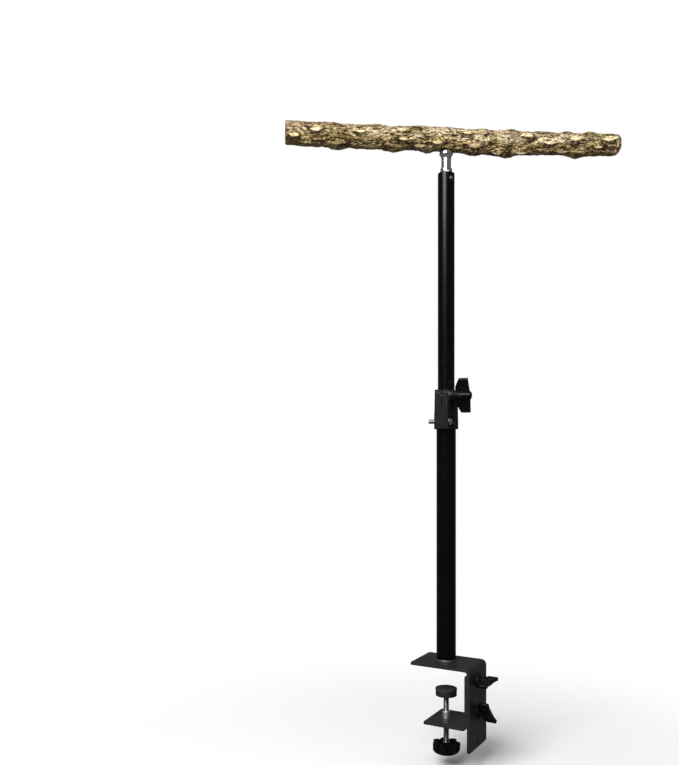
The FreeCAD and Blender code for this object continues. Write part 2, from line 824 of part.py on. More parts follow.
def star_knob():
    """Lobed hand knob, rounded below and hollow above, with a hub and ribs between the lobes."""

    def foot_rim(middle, edge):
        return near(middle.z, star_foot_z) and edge.isClosed()

    bowl = rounded(rod(star_r, star_foot_z, star_top_z), star_edge_r, foot_rim)
    outer = rod(star_root_r, star_foot_z, star_top_z)
    inner = rod(star_root_r - star_wall, star_foot_z + star_floor_t, star_top_z + overrun)
    ribs = rod(star_hub_r, star_foot_z, star_top_z)
    for i in range(star_lobes):
        turn = star_turn + 360 / star_lobes * i
        lobe_x = star_r - star_lobe_r
        lobe = Part.makeCylinder(star_lobe_r, star_h, Vector(lobe_x, 0, star_foot_z))
        hollow = Part.makeCylinder(
            star_lobe_r - star_wall, star_h + overrun, Vector(lobe_x, 0, star_foot_z + star_floor_t)
        )
        rib = slab(
            Vector(0, -star_rib_t * HALF, star_foot_z),
            Vector(star_root_r - star_wall * HALF, star_rib_t * HALF, star_top_z - star_wall),
        )
        lobe.rotate(Vector(), Z_AXIS, turn)
        hollow.rotate(Vector(), Z_AXIS, turn)
        rib.rotate(Vector(), Z_AXIS, turn + 180 / star_lobes)
        outer = outer.fuse(lobe)
        inner = inner.fuse(hollow)
        ribs = ribs.fuse(rib)
    shell = outer.cut(inner)
    knob = shell.fuse(ribs).common(bowl).removeSplitter()
    return knob.cut(rod(rod_r + fixed_gap, star_foot_z + star_floor_t, star_top_z + overrun))


def rivet_places(piece):
    """Two copies of a piece built along +Z from the pole's axis, laid across the mast at the rivets."""
    copies = []
    for turn in (rivet_angle, rivet_angle + 180):
        copy = point_outwards(piece, 0, 0, mast_top_z - rivet_drop, 0)
        copy.rotate(Vector(), Z_AXIS, turn)
        copies.append(copy)
    return copies


def rivet_holes():
    """Cutters for the rivets' shanks."""
    return rivet_places(rod(rivet_r + fixed_gap, mast_r - rivet_depth, mast_r + overrun))


def rivet_seats():
    """Cutters for the shallow flats under the rivets' heads."""
    return rivet_places(rod(rivet_head_r + fixed_gap, mast_r - rivet_seat, mast_r + overrun))


def stud_rivets():
    """Two rivets with low domed heads, which hold the stud in the tube."""
    seat = mast_r - rivet_seat
    foot = mast_r - rivet_depth
    rivet = turned([
        Part.makeLine(Vector(0, 0, foot), Vector(rivet_r, 0, foot)),
        Part.makeLine(Vector(rivet_r, 0, foot), Vector(rivet_r, 0, seat)),
        Part.makeLine(Vector(rivet_r, 0, seat), Vector(rivet_head_r, 0, seat)),
        cap_arc(rivet_head_r, seat, rivet_head_h),
        Part.makeLine(Vector(0, 0, seat + rivet_head_h), Vector(0, 0, foot)),
    ])
    return Part.makeCompound(rivet_places(rivet))


def perch_stud():
    """Turned stud: a plug in the tube, a stepped skirt, a neck, a flared bead and a thread."""
    skirt_z = mast_top_z + stud_skirt_h
    step_z = skirt_z + stud_step_h
    neck_z = step_z + stud_fillet_h
    flare_z = neck_z + stud_neck_h
    bead_z = flare_z + stud_flare_h
    tip_z = bead_z + stud_bead_h
    plug_r = mast_bore_r - fixed_gap
    thread_z = stud_top_z + stud_thread_h

    def at(radius, height):
        return Vector(radius, 0, height)

    corners = [
        at(0, mast_top_z - stud_plug_h),
        at(plug_r, mast_top_z - stud_plug_h),
        at(plug_r, mast_top_z),
        at(stud_skirt_r, mast_top_z),
        at(stud_step_r, skirt_z),
        at(stud_step_r, step_z),
        at(stud_neck_r, neck_z),
        at(stud_neck_r, flare_z),
    ]
    rise = stud_bead_r - stud_neck_r
    fall = stud_bead_r - stud_tip_r
    flare = Part.Arc(
        at(stud_neck_r, flare_z),
        at(stud_neck_r + rise * HALF * HALF, flare_z + stud_flare_h * HALF),
        at(stud_bead_r, bead_z),
    )
    dome = Part.Arc(
        at(stud_bead_r, tip_z),
        at(stud_bead_r - fall * HALF * HALF, tip_z + stud_tip_h * HALF),
        at(stud_tip_r, stud_top_z),
    )
    ends = [
        at(stud_tip_r, stud_top_z),
        at(stud_thread_r, stud_top_z),
        at(stud_thread_r, thread_z),
        at(0, thread_z),
        corners[0],
    ]
    edges = [Part.makeLine(a, b) for a, b in zip(corners, corners[1:])]
    edges += [flare.toShape(), Part.makeLine(at(stud_bead_r, bead_z), at(stud_bead_r, tip_z))]
    edges += [dome.toShape()]
    edges += [Part.makeLine(a, b) for a, b in zip(ends, ends[1:])]
    stud = turned(edges)
    return stud.cut(rivet_holes())


def perch_insert():
    """Threaded insert in the branch, which the stud screws into."""
    return ring(insert_r, stud_thread_r + thread_gap, stud_top_z, stud_top_z + insert_h)


def perch_branch():
    """The branch: a smooth skin over round sections that swell, sag and lean along it."""
    rings = []
    for along, swell, sag, lean in perch_shares:
        centre = Vector(
            along * perch_length - perch_left,
            lean * perch_bow,
            perch_axis_z + (perch_bow_at_stud() - sag) * perch_bow,
        )
        rings.append(Part.Wire(Part.makeCircle(perch_r * swell, centre, X_AXIS)))
    branch = Part.makeLoft(rings, True, False, False, LOFT_DEGREE)

    def rim(middle, edge):
        return edge.isClosed() and edge.Length > perch_r

    branch = chamfered(branch, perch_edge, rim)
    branch = branch.fuse(perch_thorns())
    branch.rotate(Vector(), Z_AXIS, perch_yaw)
    seat = rod(stud_bead_r, stud_top_z - perch_r, stud_top_z)
    socket_top = stud_top_z + stud_thread_h + insert_bottom_gap
    return branch.cut([seat, rod(insert_r + fixed_gap, stud_top_z - overrun, socket_top)])


def perch_section(share):
    """Where the branch's axis lies at a share of its length, before its yaw, and its radius."""
    after = [i for i, row in enumerate(perch_shares) if row[0] >= share][0]
    below, above = perch_shares[max(after - 1, 0)], perch_shares[after]
    part = (share - below[0]) / (above[0] - below[0]) if above is not below else 0
    swell, sag, lean = [a + part * (b - a) for a, b in zip(below[1:], above[1:])]
    centre = Vector(
        share * perch_length - perch_left,
        lean * perch_bow,
        perch_axis_z + (perch_bow_at_stud() - sag) * perch_bow,
    )
    return centre, swell * perch_r


def perch_thorns():
    """The cushions: spindles along the branch, each sunk so that only its crest stands out. On the
    side away from the front they follow a spiral."""
    rows = list(perch_thorn_shares)
    for i in range(perch_back_thorns):
        share = (i + HALF) / perch_back_thorns
        turn = perch_back_start + i * perch_back_step % perch_back_span
        rows.append((share, turn, *perch_back_thorn_shares))
    thorns = []
    for share, turn, half_long, half_wide, height in rows:
        centre, skin_r = perch_section(share)
        reach = half_long * perch_r
        bulge = half_wide * perch_r
        thorn = turned([
            Part.Arc(Vector(0, 0, -reach), Vector(bulge, 0, 0), Vector(0, 0, reach)).toShape(),
            Part.makeLine(Vector(0, 0, reach), Vector(0, 0, -reach)),
        ])
        thorn.rotate(Vector(), Vector(0, 1, 0), 90)
        thorn.translate(Vector(0, -(skin_r + height * perch_r - bulge), 0))
        thorn.rotate(Vector(), X_AXIS, -turn)
        thorn.translate(centre)
        thorns.append(thorn)
    return thorns


def perch_bow_at_stud():
    """The share by which the branch sags where the stud stands."""
    stud_share = perch_left / perch_length
    below = [row for row in perch_shares if row[0] <= stud_share][-1]
    above = [row for row in perch_shares if row[0] >= stud_share][0]
    if above is below:
        return below[2]
    part = (stud_share - below[0]) / (above[0] - below[0])
    return below[2] + part * (above[2] - below[2])


pieces = {
    "upper_bracket": upper_bracket(),
    "lower_bracket": lower_bracket(),
    "screw_bush": screw_bush(),
    "pole_foot": pole_foot(),
    "foot_bolt": foot_bolt(),
    "lower_tube": lower_tube(),
    "collar_body": collar_body(),
    "collar_nuts": collar_nuts(),
    "collar_screw": collar_screw(),
    "collar_washer": collar_washer(),
    "collar_knob": collar_knob(),
    "collar_knob_stud": collar_knob_stud(),
    "upper_wing_washer": wing_washer(0),
    "upper_wing_knob": clamp_wing_knob(0),
    "upper_wing_screw": wing_screw(0),
    "lower_wing_washer": wing_washer(1),
    "lower_wing_knob": clamp_wing_knob(1),
    "lower_wing_screw": wing_screw(1),
    "pad_rubber": pad_rubber(),
    "pressure_pad": pressure_pad(),
    "clamp_screw": clamp_screw(),
    "star_knob": star_knob(),
    "guide_bush": guide_bush(),
    "upper_tube": upper_tube(),
    "stud_rivets": stud_rivets(),
    "perch_stud": perch_stud(),
    "perch_insert": perch_insert(),
    "perch_branch": perch_branch(),
}

for name, shape in pieces.items():
    shape.exportStep(f"parts/{name}.step")
    box = shape.BoundBox
    print(
        f"{name}: {len(shape.Solids)} solid, valid {shape.isValid()}, {shape.Volume:.0f} mm3,"
        f" x {box.XMin:.1f} {box.XMax:.1f} y {box.YMin:.1f} {box.YMax:.1f}"
        f" z {box.ZMin:.1f} {box.ZMax:.1f}"
    )
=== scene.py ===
"""Bird perch stand, dressed: a natural branch on a chrome stud, two black tubes joined by a split
collar, and a bent-steel clamp with plastic knobs. Metres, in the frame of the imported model."""
import itertools
import json
import math

import bmesh
import bpy
import numpy as np
from mathutils import Matrix, Vector

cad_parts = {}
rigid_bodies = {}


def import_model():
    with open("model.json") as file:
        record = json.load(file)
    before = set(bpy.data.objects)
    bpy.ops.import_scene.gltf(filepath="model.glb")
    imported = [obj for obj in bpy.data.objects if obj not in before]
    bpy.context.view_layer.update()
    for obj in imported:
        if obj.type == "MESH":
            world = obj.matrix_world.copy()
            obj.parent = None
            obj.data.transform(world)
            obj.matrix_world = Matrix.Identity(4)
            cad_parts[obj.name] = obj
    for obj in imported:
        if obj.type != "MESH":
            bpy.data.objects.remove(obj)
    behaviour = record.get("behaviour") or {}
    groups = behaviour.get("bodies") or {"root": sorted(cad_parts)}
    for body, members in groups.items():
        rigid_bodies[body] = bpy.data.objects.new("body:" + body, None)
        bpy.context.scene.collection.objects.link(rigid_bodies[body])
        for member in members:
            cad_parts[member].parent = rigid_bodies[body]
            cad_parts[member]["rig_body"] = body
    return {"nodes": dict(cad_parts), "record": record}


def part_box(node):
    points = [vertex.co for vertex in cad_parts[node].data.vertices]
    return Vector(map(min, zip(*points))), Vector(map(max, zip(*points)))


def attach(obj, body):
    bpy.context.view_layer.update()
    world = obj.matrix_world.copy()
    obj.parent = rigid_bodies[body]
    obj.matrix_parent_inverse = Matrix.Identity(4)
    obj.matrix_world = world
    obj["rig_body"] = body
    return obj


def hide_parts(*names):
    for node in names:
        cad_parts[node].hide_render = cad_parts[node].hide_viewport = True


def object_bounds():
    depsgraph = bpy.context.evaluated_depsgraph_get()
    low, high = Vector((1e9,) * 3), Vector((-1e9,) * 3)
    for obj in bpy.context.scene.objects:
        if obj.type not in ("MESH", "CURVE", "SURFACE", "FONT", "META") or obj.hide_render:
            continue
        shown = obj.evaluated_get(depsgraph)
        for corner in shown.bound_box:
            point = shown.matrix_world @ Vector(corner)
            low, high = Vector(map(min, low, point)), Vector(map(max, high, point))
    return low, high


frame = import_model()
cad_low, cad_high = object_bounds()
nodes = frame["nodes"]
slot_of = {part["node"]: part["material_slot"] for part in frame["record"]["subparts"]}

MM = 0.001

# The camera, level, as fitted to the photograph
PICTURE_HIGH = 765
FOCAL_PIXELS = 850
HORIZON_ROW = 437.6
SENSOR = 36.0
EYE = Vector((375.5, -901.4, 257.0)) * MM
EYE_TURN = math.radians(29.77)

# The branch, in mm
BRANCH_YAW = math.radians(35.6)
BRANCH_NEAR = 183.0  # from the stud to the sawn end on the left
BRANCH_FAR = 203.5
BRANCH_LENGTH = BRANCH_NEAR + BRANCH_FAR
BRANCH_R = 13.3
BRANCH_BOW = 3.0
BRANCH_SINK = 1.8
BRANCH_ROWS = 760
BRANCH_COLUMNS = 120
TOP_WORN = 0.3  # how much lower the bark stands along the top
BELLY_WORN = 1.0
NEAR_EASED = (0.5, 0.9)  # how far in and how far along the edge of a sawn end is rounded
FAR_EASED = (2.4, 4.5)
END_RINGS = 9
END_ROUGH = 0.12
SEAT_R = 7.9
SEAT_SWELL = 0.5

# How far along, as a share of the length; the radius as a share of BRANCH_R; the sag and the lean
# as shares of BRANCH_BOW
BRANCH_SHARES = [
    (0.00, 1.00, 0.05, 0.10),
    (0.09, 1.01, 0.15, 0.25),
    (0.18, 0.98, 0.40, 0.10),
    (0.27, 1.00, 0.70, -0.15),
    (0.36, 1.00, 0.60, -0.20),
    (0.45, 0.98, 0.35, -0.05),
    (0.54, 1.01, 0.75, 0.15),
    (0.63, 1.05, 1.00, 0.15),
    (0.72, 0.99, 0.90, -0.05),
    (0.81, 0.95, 0.65, -0.15),
    (0.91, 0.96, 0.40, -0.05),
    (1.00, 0.94, 0.15, 0.15),
]
SPAN_AT, SPAN_R, SPAN_SAG, SPAN_LEAN = np.array(BRANCH_SHARES).T

# Thorns filed down to low cushions, and lumps: how far along, as a share of the length; degrees
# round the branch, up from its front; half length, half width and height, as shares of BRANCH_R;
# and how bare the wood is, 0 for a lump under whole bark
THORN_SHARES = [
    (0.023, -22, 0.56, 0.26, 0.13, 1.0),
    (0.085, 6, 0.62, 0.25, 0.13, 1.0),
    (0.090, -36, 0.54, 0.20, 0.11, 0.3),
    (0.150, -50, 0.80, 0.30, 0.14, 0.4),
    (0.215, 8, 0.54, 0.20, 0.12, 1.0),
    (0.340, -18, 0.50, 0.22, 0.12, 1.0),
    (0.340, 22, 0.50, 0.20, 0.08, 0.5),
    (0.390, -50, 0.70, 0.30, 0.15, 0.6),
    (0.440, -30, 0.64, 0.24, 0.13, 1.0),
    (0.530, 21, 0.50, 0.20, 0.11, 1.0),
    (0.552, -33, 0.74, 0.32, 0.16, 0.9),
    (0.624, -68, 0.58, 0.25, 0.14, 0.6),
    (0.696, -66, 0.70, 0.26, 0.15, 0.8),
    (0.712, 22, 0.58, 0.24, 0.12, 0.8),
    (0.776, -10, 0.70, 0.25, 0.13, 0.9),
    (0.820, -58, 0.74, 0.25, 0.14, 0.6),
    (0.854, 9, 0.66, 0.28, 0.15, 1.0),
    (0.926, -28, 0.54, 0.20, 0.11, 0.9),
    (0.957, 12, 0.70, 0.26, 0.14, 1.0),
    (0.150, -102, 0.95, 0.45, 0.28, 0),
    (0.316, -106, 0.95, 0.45, 0.21, 0),
    (0.416, -100, 0.80, 0.45, 0.27, 0),
    (0.554, -100, 0.85, 0.45, 0.24, 0),
    (0.657, -102, 0.95, 0.45, 0.25, 0),
    (0.869, -102, 1.15, 0.50, 0.28, 0),
    (0.124, 68, 0.64, 0.30, 0.16, 0.2),
    (0.269, 74, 0.70, 0.30, 0.17, 0.2),
    (0.393, 60, 0.64, 0.28, 0.16, 0.3),
    (0.582, 62, 0.70, 0.30, 0.17, 0.2),
    (0.668, 74, 0.64, 0.34, 0.23, 0.2),
    (0.758, 64, 0.56, 0.26, 0.18, 0.3),
    (0.836, 72, 0.56, 0.30, 0.21, 0.2),
    (0.911, 74, 0.64, 0.30, 0.21, 0.2),
]
BACK_THORNS = 16
BACK_START, BACK_SPAN, BACK_STEP = 95, 150, 137.5  # degrees
BACK_SHARES = (0.56, 0.25, 0.13, 0.7)
BELL_FALL = (1.6, 0.75)  # how fast a thorn falls off along it and across it
FACET_HIGH, FACET_LEAN = 0.66, 0.16  # where a thorn is filed off, and the slope of the cut
FIBRES_DRAWN = 0.75
DRAWN_FALL = (0.4, 0.16)
NO_THORN = 9.0  # stands for a place far from every thorn

# The knot: mm along the branch, degrees up from its front, half its length and its depth in mm
KNOT_ALONG, KNOT_TURN, KNOT_R, KNOT_DEPTH = 189, 3, 6.0, 1.5
KNOT_SLIM = 2  # times as long as it is wide

# The bark: sizes of its parts in mm along the branch, across it and across it, and their heights
WANDER_SIZE, WANDER = 12, 1.8
LUMP, LUMP_HIGH = (22, 12, 12), 0.6
DIMPLE, DIMPLE_HIGH = (8, 6, 6), 0.5
WIDE_FIBRE, WIDE_FIBRE_SHARE = (8, 2.8, 2.8), 0.4
FINE_FIBRE, FINE_FIBRE_SHARE = (4.2, 1.7, 1.7), 0.36
FINE_FIBRE_START = 7
GRIT, GRIT_SHARE = (1.9, 1.5, 1.5), 0.42
SKIN_HIGH = 0.95
SKIN_FILED = 0.85  # the share of it that a file takes off
SKIN_SUNK = 0.1

# What the bark's material reads on the sawn ends, where it isn't 0
ON_SAWN_ENDS = {"skin": 0.5, "lens": NO_THORN, "sawn": 1}

# Edges: which are rounded, which lie flat and vanish, and which shade as creases, in degrees
EASED_ANGLE = 28
EASED_SEGMENTS = 2
FLAT_ANGLE = 0.8
CREASE_ANGLE = 50
THREAD_CREASE_ANGLE = 62
WELD_GAP = 2e-6  # metres

# Threads, in mm
THREAD_COLUMNS = 32
RING = np.linspace(0, 2 * math.pi, THREAD_COLUMNS, endpoint=False)  # the columns' angles
THREAD_ROWS = 10  # to one pitch
THREAD_DEPTH = 0.54  # as a share of the pitch
THREAD_SLOPE, THREAD_FLAT = 1.5, 0.2
ROD_R = 3.175
ROD_PITCH = 1.27
ROD_NECK_R = 2.2
ROD_HEAD_R = 3.6
ROD_HEAD_H = 1.3
ROD_HEAD_EASED = (0.4, 0.3)  # in from the head's side, and down from its top
ROD_SHOULDER_GAP = 0.1
M5_R = 2.5
M5_ROOT_R = 1.95
M5_PITCH = 0.8
TIP_DEPTH = 0.6  # how far the tip's thread runs out, as a share of the pitch
TIP_START = -0.4
COLLAR_YAW = math.radians(7)
COLLAR_SCREW_Y = -14
COLLAR_TAIL_END = 16.2  # from the slit to the lower screw's tip
COLLAR_TAIL_L = 10.6
COLLAR_SHANK_END = -5.5
COLLAR_TIP_L = 1
COLLAR_TIP_DRAWN = 0.2  # how far the shank's own tip is drawn back into the thread

# The studio, in metres; light levels as shares of white
FLOOR_SIDES = 96
FLOOR_R = 12.0
FLOOR_DROP = 0.016  # room for the clamp screw at its lowest
FLOOR_NEAR = 0.08  # where the floor starts to turn white, from the pole
FLOOR_FAR = 0.5
ROOM_LIGHT = 0.22
ROOM_MIRROR = 0.13


def smooth(low, high, value):
    """0 below low, 1 above high, and an S-shaped cubic between."""
    part = np.clip((value - low) / (high - low), 0, 1)
    return part * part * (3 - 2 * part)


def hashed(cells):
    """A number from 0 to 1 for each cell of whole numbers: what is left of a large sine."""
    mixed = np.sin(cells @ np.array([127.1, 311.7, 74.7])) * 43758.5453
    return mixed - np.floor(mixed)


def soft_noise(points):
    """Noise from -1 to 1: hashed values at the corners of unit cells, blended by smooth steps."""
    base = np.floor(points)
    part = smooth(0, 1, points - base)
    total = np.zeros(points.shape[:-1])
    for corner in itertools.product((0, 1), repeat=3):
        weight = np.prod(np.where(np.array(corner), part, 1 - part), axis=-1)
        total += weight * hashed(base + corner)
    return total * 2 - 1


def through(at, places, values):
    """A smooth curve through values at places: cubic spans whose slopes are those of the chords
    between each value's neighbours."""
    slopes = np.gradient(values, places)
    span = np.clip(np.searchsorted(places, at) - 1, 0, len(places) - 2)
    wide = places[span + 1] - places[span]
    t = (at - places[span]) / wide
    low, high = values[span], values[span + 1]
    lean = slopes[span] * wide
    fall = slopes[span + 1] * wide
    return (
        low * (1 + 2 * t) * (1 - t) ** 2 + lean * t * (1 - t) ** 2
        + high * t * t * (3 - 2 * t) + fall * t * t * (t - 1)
    )


def closed_mesh(name, rings, start, end):
    """A mesh over rows of points (rows, columns, 3), each row a closed ring, with a fan of
    triangles from each end row to its middle point."""
    rows, columns = rings.shape[:2]
    index = np.arange(rows * columns).reshape(rows, columns)
    here, there = index[:-1], index[1:]
    quads = np.stack([here, np.roll(here, -1, 1), np.roll(there, -1, 1), there], axis=-1)
    first, last = rows * columns, rows * columns + 1
    fans = [(first, b, a) for a, b in zip(index[0], np.roll(index[0], -1))]
    fans += [(last, a, b) for a, b in zip(index[-1], np.roll(index[-1], -1))]
    points = np.vstack([rings.reshape(-1, 3), [start], [end]])
    mesh = bpy.data.meshes.new(name)
    mesh.from_pydata(points.tolist(), [], quads.reshape(-1, 4).tolist() + fans)
    turned_out = bmesh.new()
    turned_out.from_mesh(mesh)
    if turned_out.calc_volume(signed=True) < 0:
        bmesh.ops.reverse_faces(turned_out, faces=turned_out.faces)
    turned_out.to_mesh(mesh)
    turned_out.free()
    mesh.shade_smooth()
    return mesh


def add_piece(name, mesh, body, replaced=()):
    """Puts a mesh in the scene as a piece that rides on a body and stands for some nodes."""
    piece = bpy.data.objects.new(name, mesh)
    bpy.context.scene.collection.objects.link(piece)
    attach(piece, body)
    if replaced:
        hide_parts(*replaced)
    return piece


def store(mesh, name, values):
    """Keeps one number per point under a name that materials can read."""
    layer = mesh.attributes.new(name, "FLOAT", "POINT")
    layer.data.foreach_set("value", np.asarray(values, dtype=np.float32).ravel())


def thorns():
    """All the thorns: those seen in the photograph, and a spiral of them at the back."""
    rows = list(THORN_SHARES)
    for i in range(BACK_THORNS):
        turn = BACK_START + i * BACK_STEP % BACK_SPAN
        rows.append(((i + 0.5) / BACK_THORNS, turn, *BACK_SHARES))
    return rows


def thorn_relief(along, turn, radius):
    """What the thorns add to the branch, all over its grid: their height in mm, a bell that is
    filed off by a facet leaning upwards; the least lens, |across| + along squared in half sizes,
    which is 1 round a thorn's foot; whether the nearest thorn is bare and lies above or below;
    and how far the bark's fibres are drawn across to flow round the thorns."""
    height = np.zeros_like(along)
    lens = np.full_like(along, NO_THORN)
    pale = np.zeros_like(along)
    above = np.zeros_like(along)
    drawn = np.zeros_like(along)
    for share, angle, half_long, half_wide, tall, bare in thorns():
        apart = (turn - math.radians(angle) + math.pi) % (2 * math.pi) - math.pi
        across = apart * radius / (half_wide * BRANCH_R)
        ahead = (along - share * BRANCH_LENGTH) / (half_long * BRANCH_R)
        bell = np.exp(-BELL_FALL[0] * ahead ** 2 - BELL_FALL[1] * across ** 2)
        facet = FACET_HIGH - FACET_LEAN * across if bare else 1.0
        height = np.maximum(height, tall * BRANCH_R * np.minimum(bell, facet))
        here = np.abs(across) + ahead ** 2
        nearest = here < lens
        lens = np.where(nearest, here, lens)
        pale = np.where(nearest, bare, pale)
        above = np.where(nearest, np.clip(across, -2, 2), above)
        pull = np.exp(-DRAWN_FALL[0] * ahead ** 2 - DRAWN_FALL[1] * across ** 2)
        drawn += apart * radius * FIBRES_DRAWN * pull
    return height, lens, pale, above, drawn


def branch_surface(along, turn):
    """The branch over a grid of places along it and turns round it: how far its bark of wavy
    fibres, grit, lumps and thorns stands from the pith, in mm, and what its material reads."""
    radius = BRANCH_R * through(along / BRANCH_LENGTH, SPAN_AT, SPAN_R)
    height, lens, pale, above, drawn = thorn_relief(along, turn, radius)
    flat = np.stack([along, radius * np.cos(turn), radius * np.sin(turn)], axis=-1)
    round_about = np.stack([0 * turn, -np.sin(turn), np.cos(turn)], axis=-1)
    flat += soft_noise(flat / WANDER_SIZE)[..., None] * round_about * WANDER
    flow = flat - round_about * drawn[..., None]
    wide_fibre = 1 - 2 * np.abs(soft_noise(flow / WIDE_FIBRE))
    fine_fibre = 1 - 2 * np.abs(soft_noise(flow / FINE_FIBRE + FINE_FIBRE_START))
    skin = WIDE_FIBRE_SHARE * wide_fibre + FINE_FIBRE_SHARE * fine_fibre
    skin = skin + GRIT_SHARE * soft_noise(flow / GRIT)
    lumps = soft_noise(flat / LUMP) * LUMP_HIGH + soft_noise(flat / DIMPLE) * DIMPLE_HIGH
    filed = pale * (1 - smooth(0.5, 0.75, lens))
    from_knot = (turn - math.radians(KNOT_TURN)) * radius * KNOT_SLIM
    knot = 1 - smooth(0.25, 1, np.hypot(along - KNOT_ALONG, from_knot) / KNOT_R)
    swell = radius - SKIN_SUNK + lumps + height - KNOT_DEPTH * knot
    upward = np.sin(turn)
    swell -= TOP_WORN * smooth(0.4, 0.9, upward) + BELLY_WORN * smooth(0.4, 0.9, -upward)
    swell += skin * SKIN_HIGH * (1 - SKIN_FILED * filed)
    from_seat = np.hypot(along - BRANCH_NEAR, (turn + math.pi / 2) * radius)
    seat = 1 - smooth(SEAT_R, 2 * SEAT_R, from_seat)
    swell += (np.maximum(radius + SEAT_SWELL, swell) - swell) * seat
    from_far = BRANCH_LENGTH - along
    for (depth, length), from_end in ((NEAR_EASED, along), (FAR_EASED, from_far)):
        swell -= depth * (1 - smooth(0, length, from_end)) ** 2
    return swell, {
        "skin": smooth(-0.4, 0.75, skin), "lens": lens, "pale": pale, "above": above,
        "knot": knot, "sawn": 1 - smooth(0, 0.5, np.minimum(along, from_far)),
        "upward": upward, "flow_along": flow[..., 0], "flow_out": flow[..., 1],
        "flow_up": flow[..., 2],
    }


def branch_mesh():
    """The branch as a grid of rings of bark, closed by two sawn ends of shrinking rings."""
    body = np.linspace(0, BRANCH_LENGTH, BRANCH_ROWS)
    angles = np.linspace(-math.pi, math.pi, BRANCH_COLUMNS, endpoint=False)
    along, turn = np.meshgrid(body, angles, indexing="ij")
    swell, seen = branch_surface(along, turn)
    ring = np.linspace(0, 1, END_RINGS, endpoint=False)[1:, None] ** 0.8
    out, up = 5 * np.cos(angles) + 0 * ring, 5 * np.sin(angles) + 0 * ring
    sawn = END_ROUGH * soft_noise(np.stack([ring * 9 + 0 * angles, out, up], axis=-1))
    near_rings = swell[0] * ring
    far_rings = swell[-1] * ring[::-1]
    reach = np.vstack([near_rings, swell, far_rings])
    run = np.vstack([sawn, along, BRANCH_LENGTH - sawn[::-1]])
    spread = np.vstack([near_rings * 0 + angles, turn, far_rings * 0 + angles])
    share = run.clip(0, BRANCH_LENGTH) / BRANCH_LENGTH
    sag = through(share, SPAN_AT, SPAN_SAG) * BRANCH_BOW
    lean = through(share, SPAN_AT, SPAN_LEAN) * BRANCH_BOW
    stud_sag = np.interp(BRANCH_NEAR / BRANCH_LENGTH, SPAN_AT, SPAN_SAG) * BRANCH_BOW
    stud_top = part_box("perch_insert")[0].z / MM
    axis_z = stud_top - BRANCH_SINK + BRANCH_R
    x = run - BRANCH_NEAR
    y = lean - reach * np.cos(spread)
    z = axis_z + stud_sag - sag + reach * np.sin(spread)
    seat_z = stud_top - 0.02
    z = np.where((np.hypot(x, y) < SEAT_R) & (z < seat_z), seat_z, z)
    cos_yaw, sin_yaw = math.cos(BRANCH_YAW), math.sin(BRANCH_YAW)
    points = np.stack([x * cos_yaw - y * sin_yaw, x * sin_yaw + y * cos_yaw, z], axis=-1) * MM
    mesh = closed_mesh("perch_bark", points, points[0].mean(0), points[-1].mean(0))
    for name, values in seen.items():
        at_ends = np.full_like(near_rings, ON_SAWN_ENDS.get(name, 0))
        grid = np.vstack([at_ends, values, at_ends])
        store(mesh, name, np.concatenate([grid.ravel(), at_ends[0, :2]]))
    store(mesh, "from_pith", np.concatenate([reach.ravel(), [0, 0]]))
    return mesh


def eased(node, width):
    """The node's own shape with its sharp edges rounded by a small radius, as coated, moulded or
    turned edges are."""
    source = nodes[node]
    shape = bmesh.new()
    shape.from_mesh(source.data)
    bmesh.ops.remove_doubles(shape, verts=shape.verts, dist=WELD_GAP)
    bmesh.ops.dissolve_limit(
        shape, angle_limit=math.radians(FLAT_ANGLE), verts=shape.verts, edges=shape.edges,
    )
    sharp = [
        e for e in shape.edges
        if len(e.link_faces) == 2 and e.calc_face_angle(0) > math.radians(EASED_ANGLE)
    ]
    bmesh.ops.bevel(
        shape, geom=sharp, offset=width * MM, offset_type="OFFSET", segments=EASED_SEGMENTS,
        profile=0.5, affect="EDGES", clamp_overlap=True, loop_slide=True,
    )
    bmesh.ops.triangulate(shape, faces=[f for f in shape.faces if len(f.verts) > 4])
    mesh = bpy.data.meshes.new(node + "_eased")
    shape.to_mesh(mesh)
    shape.free()
    mesh.shade_smooth()
    mesh.set_sharp_from_angle(angle=math.radians(CREASE_ANGLE))
    piece = add_piece(node + "_eased", mesh, source["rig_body"], [node])
    weights = piece.modifiers.new("even_normals", "WEIGHTED_NORMAL")
    weights.keep_sharp = True
    return piece


def turned_piece(name, heights, radii, place, body, replaced=()):
    """A turned piece: a row of radii round the axis at each height along it, moved to its place
    by a matrix."""
    lift = np.repeat(heights[:, None], THREAD_COLUMNS, axis=1)
    rings = np.stack([radii * np.cos(RING), radii * np.sin(RING), lift], axis=-1) * MM
    start = (0, 0, heights[0] * MM)
    end = (0, 0, heights[-1] * MM)
    mesh = closed_mesh(name, rings, start, end)
    mesh.transform(place)
    piece = add_piece(name, mesh, body, replaced)
    mesh.set_sharp_from_angle(angle=math.radians(THREAD_CREASE_ANGLE))
    return piece


def thread_radii(heights, crest, pitch):
    """The radius of a right-hand thread: a trapezoid wave of height over pitch less the turn."""
    phase = heights[:, None] / pitch - RING / (2 * math.pi)
    wave = np.abs((phase - np.floor(phase)) * 2 - 1)
    flank = 1 - np.clip(wave * THREAD_SLOPE - THREAD_FLAT, 0, 1)
    return crest - THREAD_DEPTH * pitch * flank


def lying_along(origin, direction):
    """The matrix that lays a piece built along +Z along a direction, with its foot at a point in
    metres."""
    turn = Vector((0, 0, 1)).rotation_difference(direction).to_matrix().to_4x4()
    return Matrix.Translation(origin) @ turn


